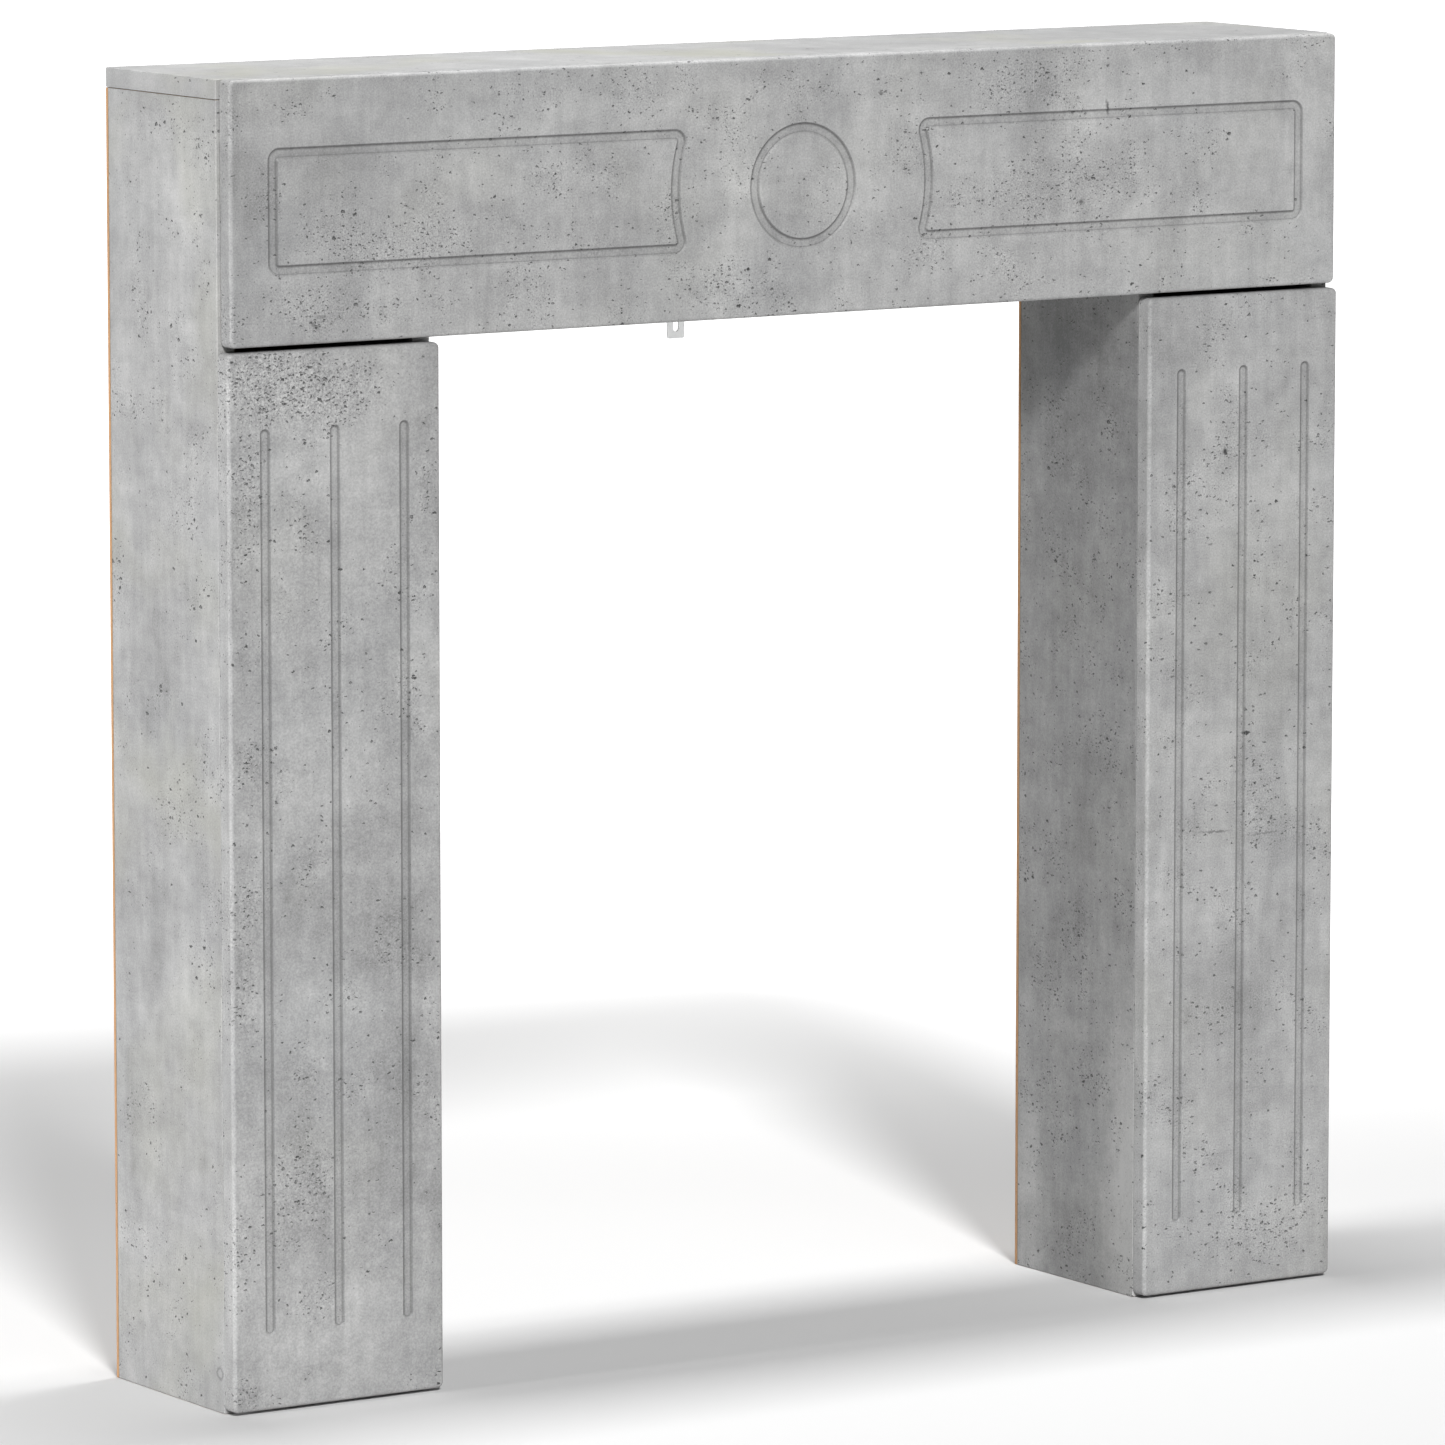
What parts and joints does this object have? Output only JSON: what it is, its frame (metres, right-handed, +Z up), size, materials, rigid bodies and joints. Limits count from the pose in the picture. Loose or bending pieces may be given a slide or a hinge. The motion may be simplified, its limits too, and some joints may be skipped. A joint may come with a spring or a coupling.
{
  "type": "fireplace surround",
  "caption": "Freestanding fireplace surround with fluted legs and a panelled header, faced in concrete-look foil, with a slotted wall strap at the back.",
  "frame": {"origin": "on the floor, in the middle of the footprint", "axes": "+X to the right as seen from the front, +Y from the front to the wall, +Z up"},
  "size_m": [1.016, 0.1824, 1],
  "materials": {
    "concrete_foil": "matt concrete-look foil on fibreboard",
    "hardboard": "raw hardboard",
    "painted_steel": "pale grey powder coat",
    "zinc_plate": "zinc plated"
  },
  "bodies": {
    "root": {"mantel_top": "concrete_foil", "header_front": "concrete_foil", "header_back_rail": "concrete_foil", "left_outer_side": "concrete_foil", "left_inner_side": "concrete_foil", "right_inner_side": "concrete_foil", "right_outer_side": "concrete_foil", "left_leg_front": "concrete_foil", "right_leg_front": "concrete_foil", "left_leg_back": "hardboard", "right_leg_back": "hardboard", "wall_bracket": "painted_steel", "bracket_screw": "zinc_plate"}
  },
  "joints": []
}
